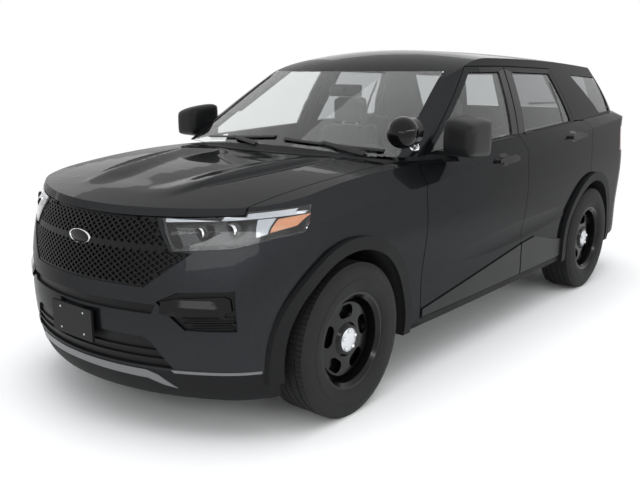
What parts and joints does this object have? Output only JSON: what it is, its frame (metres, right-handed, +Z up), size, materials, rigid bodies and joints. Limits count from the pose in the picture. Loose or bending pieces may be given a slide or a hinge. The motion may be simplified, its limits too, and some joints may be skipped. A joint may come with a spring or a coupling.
{
  "type": "police patrol car",
  "caption": "Police patrol SUV with opening doors, bonnet and tailgate, steered front wheels, steel wheels and a pillar spotlight",
  "frame": {"origin": "on the ground under the middle of the car's length and width", "axes": "+Z up, -Y towards the front of the car, +X towards the car's own left side"},
  "size_m": [2.2658, 5.0494, 1.7647],
  "materials": {
    "black_plastic": "grained black plastic",
    "black_steel": "satin black chassis paint",
    "body_paint": "dark grey metallic paint under clear coat",
    "cabin_plastic": "soft grained black plastic",
    "cast_metal": "bare cast metal",
    "clear_lens": "clear lens",
    "glass": "lightly tinted glass",
    "gloss_black": "gloss black",
    "lamp_bucket": "dark lamp housing",
    "red_lens": "red lens",
    "seat_cloth": "dark grey woven cloth",
    "seat_vinyl": "black vinyl",
    "tyre": "black rubber",
    "wheel_steel": "gloss black pressed steel"
  },
  "bodies": {
    "root": {"arch_trims": "black_plastic", "dashboard": "cabin_plastic", "engine": "cast_metal", "firewall": "black_steel", "floor_pan": "black_steel", "front_bumper": "body_paint", "front_fenders": "body_paint", "front_seats": "seat_cloth", "front_subframe": "black_steel", "front_valance": "black_plastic", "headlamp_buckets": "lamp_bucket", "headlamp_lenses": "clear_lens", "lower_grilles": "black_plastic", "plate_bracket": "black_plastic", "quarter_windows": "glass", "radiator": "black_steel", "rear_bumper": "body_paint", "rear_carriers": "cast_metal", "rear_seat": "seat_vinyl", "rear_subframe": "black_steel", "roof_panel": "body_paint", "side_frame_left": "body_paint", "side_frame_right": "body_paint", "sills": "black_plastic", "spotlight": "gloss_black", "tail_lamps": "red_lens", "upper_grille": "black_plastic", "windshield": "glass"},
    "bonnet_body": {"bonnet": "body_paint"},
    "front_left_door_body": {"front_left_door": "body_paint", "front_left_trim": "black_plastic", "front_left_window": "glass"},
    "front_left_steering": {"front_left_knuckle": "cast_metal"},
    "front_left_wheel": {"front_left_rim": "wheel_steel", "front_left_tyre": "tyre"},
    "front_right_door_body": {"front_right_door": "body_paint", "front_right_trim": "black_plastic", "front_right_window": "glass"},
    "front_right_steering": {"front_right_knuckle": "cast_metal"},
    "front_right_wheel": {"front_right_rim": "wheel_steel", "front_right_tyre": "tyre"},
    "rear_left_door_body": {"rear_left_door": "body_paint", "rear_left_trim": "black_plastic", "rear_left_window": "glass"},
    "rear_left_wheel": {"rear_left_rim": "wheel_steel", "rear_left_tyre": "tyre"},
    "rear_right_door_body": {"rear_right_door": "body_paint", "rear_right_trim": "black_plastic", "rear_right_window": "glass"},
    "rear_right_wheel": {"rear_right_rim": "wheel_steel", "rear_right_tyre": "tyre"},
    "tailgate_body": {"tailgate": "body_paint", "tailgate_lamps": "red_lens", "tailgate_window": "glass"}
  },
  "joints": [
    {"name": "front_left_steer", "type": "hinge", "parent": "root", "child": "front_left_steering", "pos_m": [0.762, -1.6195, 0.3815], "axis": [0, 0, 1], "range_deg": [-35, 35]},
    {"name": "front_left_spin", "type": "hinge", "parent": "front_left_steering", "child": "front_left_wheel", "pos_m": [0.8495, -1.6195, 0.3815], "axis": [1, 0, 0], "continuous": true},
    {"name": "rear_left_spin", "type": "hinge", "parent": "root", "child": "rear_left_wheel", "pos_m": [0.8495, 1.4055, 0.3815], "axis": [1, 0, 0], "continuous": true},
    {"name": "front_left_door_hinge", "type": "hinge", "parent": "root", "child": "front_left_door_body", "pos_m": [0.972, -0.99, 0.8], "axis": [0, 0, -1], "range_deg": [0, 68]},
    {"name": "rear_left_door_hinge", "type": "hinge", "parent": "root", "child": "rear_left_door_body", "pos_m": [0.986, 0.218, 0.8], "axis": [0, 0, -1], "range_deg": [0, 70]},
    {"name": "front_right_steer", "type": "hinge", "parent": "root", "child": "front_right_steering", "pos_m": [-0.762, -1.6195, 0.3815], "axis": [0, 0, 1], "range_deg": [-35, 35]},
    {"name": "front_right_spin", "type": "hinge", "parent": "front_right_steering", "child": "front_right_wheel", "pos_m": [-0.8495, -1.6195, 0.3815], "axis": [1, 0, 0], "continuous": true},
    {"name": "rear_right_spin", "type": "hinge", "parent": "root", "child": "rear_right_wheel", "pos_m": [-0.8495, 1.4055, 0.3815], "axis": [1, 0, 0], "continuous": true},
    {"name": "front_right_door_hinge", "type": "hinge", "parent": "root", "child": "front_right_door_body", "pos_m": [-0.972, -0.99, 0.8], "axis": [0, 0, 1], "range_deg": [0, 68]},
    {"name": "rear_right_door_hinge", "type": "hinge", "parent": "root", "child": "rear_right_door_body", "pos_m": [-0.986, 0.218, 0.8], "axis": [0, 0, 1], "range_deg": [0, 70]},
    {"name": "bonnet_hinge", "type": "hinge", "parent": "root", "child": "bonnet_body", "pos_m": [0, -1.1, 1.208], "axis": [-1, 0, 0], "range_deg": [0, 55]},
    {"name": "tailgate_hinge", "type": "hinge", "parent": "root", "child": "tailgate_body", "pos_m": [0, 2.045, 1.7], "axis": [1, 0, 0], "range_deg": [0, 80]}
  ],
  "couplings": [
    {"joint": "front_right_steer", "follows": "front_left_steer", "ratio": 1}
  ]
}
